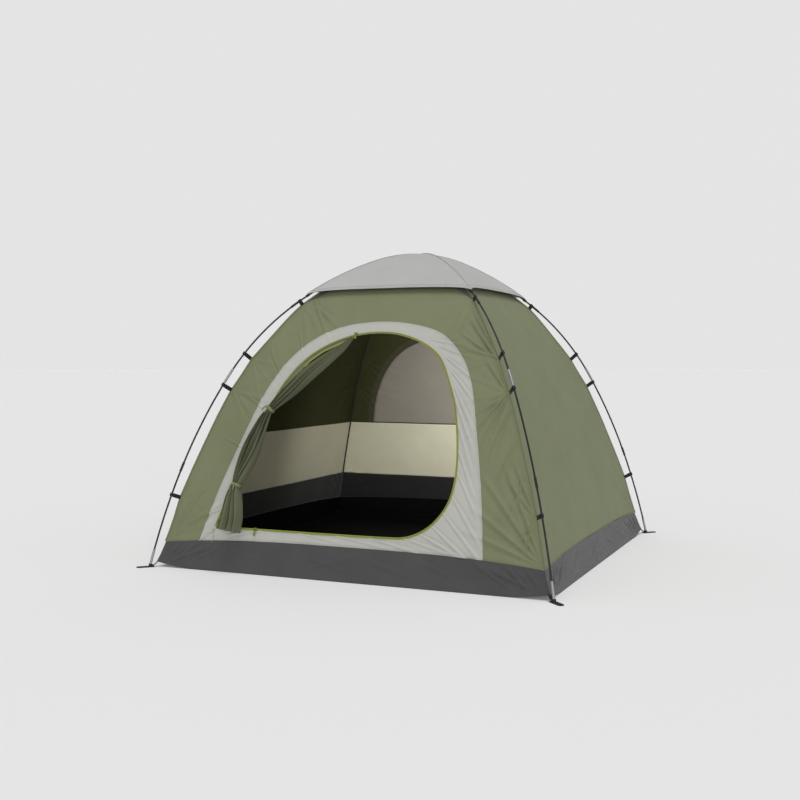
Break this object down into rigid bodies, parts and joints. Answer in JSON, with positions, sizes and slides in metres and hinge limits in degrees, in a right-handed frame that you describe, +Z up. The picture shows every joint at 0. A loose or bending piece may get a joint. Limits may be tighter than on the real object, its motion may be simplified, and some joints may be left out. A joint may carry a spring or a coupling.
{
  "type": "pole tent",
  "caption": "Dome tent hung by clips from two crossed shock-corded poles, with an arched zip door, a rear window, a bathtub floor and a lift-off roof cap.",
  "frame": {"origin": "on the ground under the crossing of the poles, the middle of the foot-to-foot square", "axes": "+Z up, -Y towards the door, +X to the right seen from the door"},
  "size_m": [2.2064, 2.2064, 1.6325],
  "materials": {
    "pole_black": "satin glass-fibre",
    "elastic_cord": "woven cover",
    "metal_silver": "brushed",
    "metal_black": "satin black coat",
    "plastic_black": "moulded",
    "webbing_black": "woven webbing",
    "fabric_green": "coated polyester, sage green",
    "fabric_grey_light": "coated polyester, light grey",
    "fabric_grey_cap": "coated polyester, grey",
    "fabric_grey_dark": "coated polyester, dark grey",
    "fabric_window": "coated polyester, grey brown",
    "fabric_band_dark": "coated polyester, black",
    "fabric_band_pale": "coated polyester, beige",
    "fabric_tub": "coated oxford cloth, dark grey",
    "mesh_black": "fine mesh",
    "zip_lime": "lime zip tape",
    "zip_dark": "dark zip tape",
    "zip_metal": "painted"
  },
  "bodies": {
    "tent": {"pole_a_section_1": "pole_black", "pole_a_section_2": "pole_black", "pole_a_section_3": "pole_black", "pole_a_section_4": "pole_black", "pole_a_section_5": "pole_black", "pole_b_section_1": "pole_black", "pole_b_section_2": "pole_black", "pole_b_section_3": "pole_black", "pole_b_section_4": "pole_black", "pole_b_section_5": "pole_black", "shock_cord_a": "elastic_cord", "shock_cord_b": "elastic_cord", "ferrules_silver": "metal_silver", "ferrules_black": "metal_black", "pole_end_tips": "metal_silver", "foot_cups": "plastic_black", "corner_straps": "webbing_black", "wall_front": "fabric_green", "wall_right": "fabric_green", "wall_back": "fabric_green", "wall_left": "fabric_green", "door_surround": "fabric_grey_light", "window_border": "fabric_grey_dark", "window_panel": "fabric_window", "inner_band_dark": "fabric_band_dark", "inner_band_pale": "fabric_band_pale", "tub_floor": "fabric_tub", "roof_mesh": "mesh_black", "corner_patches": "fabric_grey_dark", "door_zip": "zip_lime", "window_zip": "zip_dark", "door_roll": "fabric_green", "door_ties": "fabric_green", "zip_tail": "zip_lime"},
    "cap": {"roof_cap": "fabric_grey_cap", "cap_hooks": "plastic_black"},
    "clip_roof_fr": {"clip_roof_fr": "plastic_black"},
    "clip_roof_br": {"clip_roof_br": "plastic_black"},
    "clip_roof_bl": {"clip_roof_bl": "plastic_black"},
    "clip_roof_fl": {"clip_roof_fl": "plastic_black"},
    "clip_upper_fr": {"clip_upper_fr": "plastic_black"},
    "clip_upper_br": {"clip_upper_br": "plastic_black"},
    "clip_upper_bl": {"clip_upper_bl": "plastic_black"},
    "clip_upper_fl": {"clip_upper_fl": "plastic_black"},
    "clip_middle_fr": {"clip_middle_fr": "plastic_black"},
    "clip_middle_br": {"clip_middle_br": "plastic_black"},
    "clip_middle_bl": {"clip_middle_bl": "plastic_black"},
    "clip_middle_fl": {"clip_middle_fl": "plastic_black"},
    "clip_lower_fr": {"clip_lower_fr": "plastic_black"},
    "clip_lower_br": {"clip_lower_br": "plastic_black"},
    "clip_lower_bl": {"clip_lower_bl": "plastic_black"},
    "clip_lower_fl": {"clip_lower_fl": "plastic_black"},
    "door_slider_upper": {"door_slider_upper": "zip_metal"},
    "door_pull_upper": {"door_pull_upper": "zip_metal"},
    "door_slider_lower": {"door_slider_lower": "zip_metal"},
    "door_pull_lower": {"door_pull_lower": "zip_metal"},
    "window_slider": {"window_slider": "zip_metal"},
    "window_pull": {"window_pull": "zip_metal"}
  },
  "joints": [
    {"name": "cap_lift", "type": "slide", "parent": "tent", "child": "cap", "axis": [0, 0, 1], "range_m": [0, 0.4]},
    {"name": "clip_roof_fr_swing", "type": "hinge", "parent": "tent", "child": "clip_roof_fr", "pos_m": [0.47895, -0.47895, 1.33797], "axis": [-0.5828, 0.5828, 0.5664], "range_deg": [0, 70]},
    {"name": "clip_roof_br_swing", "type": "hinge", "parent": "tent", "child": "clip_roof_br", "pos_m": [0.47882, 0.47882, 1.33801], "axis": [-0.5819, -0.5819, 0.5682], "range_deg": [0, 70]},
    {"name": "clip_roof_bl_swing", "type": "hinge", "parent": "tent", "child": "clip_roof_bl", "pos_m": [-0.47895, 0.47895, 1.33797], "axis": [0.5828, -0.5828, 0.5664], "range_deg": [0, 70]},
    {"name": "clip_roof_fl_swing", "type": "hinge", "parent": "tent", "child": "clip_roof_fl", "pos_m": [-0.47882, -0.47882, 1.33801], "axis": [0.5819, 0.5819, 0.5682], "range_deg": [0, 70]},
    {"name": "clip_upper_fr_swing", "type": "hinge", "parent": "tent", "child": "clip_upper_fr", "pos_m": [0.67387, -0.67387, 1.04979], "axis": [-0.4426, 0.4426, 0.7798], "range_deg": [0, 70]},
    {"name": "clip_upper_br_swing", "type": "hinge", "parent": "tent", "child": "clip_upper_br", "pos_m": [0.67375, 0.67375, 1.04972], "axis": [-0.4429, -0.4429, 0.7796], "range_deg": [0, 70]},
    {"name": "clip_upper_bl_swing", "type": "hinge", "parent": "tent", "child": "clip_upper_bl", "pos_m": [-0.67387, 0.67387, 1.04979], "axis": [0.4426, -0.4426, 0.7798], "range_deg": [0, 70]},
    {"name": "clip_upper_fl_swing", "type": "hinge", "parent": "tent", "child": "clip_upper_fl", "pos_m": [-0.67375, -0.67375, 1.04972], "axis": [0.4429, 0.4429, 0.7796], "range_deg": [0, 70]},
    {"name": "clip_middle_fr_swing", "type": "hinge", "parent": "tent", "child": "clip_middle_fr", "pos_m": [0.74999, -0.74999, 0.89146], "axis": [-0.372, 0.372, 0.8505], "range_deg": [0, 70]},
    {"name": "clip_middle_br_swing", "type": "hinge", "parent": "tent", "child": "clip_middle_br", "pos_m": [0.74994, 0.74994, 0.89144], "axis": [-0.3723, -0.3723, 0.8502], "range_deg": [0, 70]},
    {"name": "clip_middle_bl_swing", "type": "hinge", "parent": "tent", "child": "clip_middle_bl", "pos_m": [-0.74999, 0.74999, 0.89146], "axis": [0.372, -0.372, 0.8505], "range_deg": [0, 70]},
    {"name": "clip_middle_fl_swing", "type": "hinge", "parent": "tent", "child": "clip_middle_fl", "pos_m": [-0.74994, -0.74994, 0.89144], "axis": [0.3723, 0.3723, 0.8502], "range_deg": [0, 70]},
    {"name": "clip_lower_fr_swing", "type": "hinge", "parent": "tent", "child": "clip_lower_fr", "pos_m": [0.93926, -0.93926, 0.34551], "axis": [-0.2441, 0.2441, 0.9385], "range_deg": [0, 70]},
    {"name": "clip_lower_br_swing", "type": "hinge", "parent": "tent", "child": "clip_lower_br", "pos_m": [0.93904, 0.93904, 0.34543], "axis": [-0.2439, -0.2439, 0.9386], "range_deg": [0, 70]},
    {"name": "clip_lower_bl_swing", "type": "hinge", "parent": "tent", "child": "clip_lower_bl", "pos_m": [-0.93926, 0.93926, 0.34551], "axis": [0.2441, -0.2441, 0.9385], "range_deg": [0, 70]},
    {"name": "clip_lower_fl_swing", "type": "hinge", "parent": "tent", "child": "clip_lower_fl", "pos_m": [-0.93904, -0.93904, 0.34543], "axis": [0.2439, 0.2439, 0.9386], "range_deg": [0, 70]},
    {"name": "door_zip_arch", "type": "hinge", "parent": "tent", "child": "door_slider_upper", "pos_m": [0.015, -0.86296, 0.76429], "axis": [0, 0.8434, -0.5373], "range_deg": [0, 36]},
    {"name": "door_pull_upper_flip", "type": "hinge", "parent": "door_slider_upper", "child": "door_pull_upper", "pos_m": [-0.1069, -0.60896, 1.1822], "axis": [-0.9703, -0.13, -0.204], "range_deg": [0, 150]},
    {"name": "door_zip_sill", "type": "slide", "parent": "tent", "child": "door_slider_lower", "axis": [1, 0, 0], "range_m": [0, 0.7]},
    {"name": "door_pull_lower_flip", "type": "hinge", "parent": "door_slider_lower", "child": "door_pull_lower", "pos_m": [-0.48, -0.98157, 0.21641], "axis": [-1, 0, 0], "range_deg": [0, 150]},
    {"name": "window_zip_arch", "type": "hinge", "parent": "tent", "child": "window_slider", "pos_m": [0, 1.05838, 0.46327], "axis": [0, 0.8415, 0.5403], "range_deg": [-14, 14]},
    {"name": "window_pull_flip", "type": "hinge", "parent": "window_slider", "child": "window_pull", "pos_m": [0, 0.59694, 1.20101], "axis": [1, 0, 0], "range_deg": [0, 150]}
  ]
}
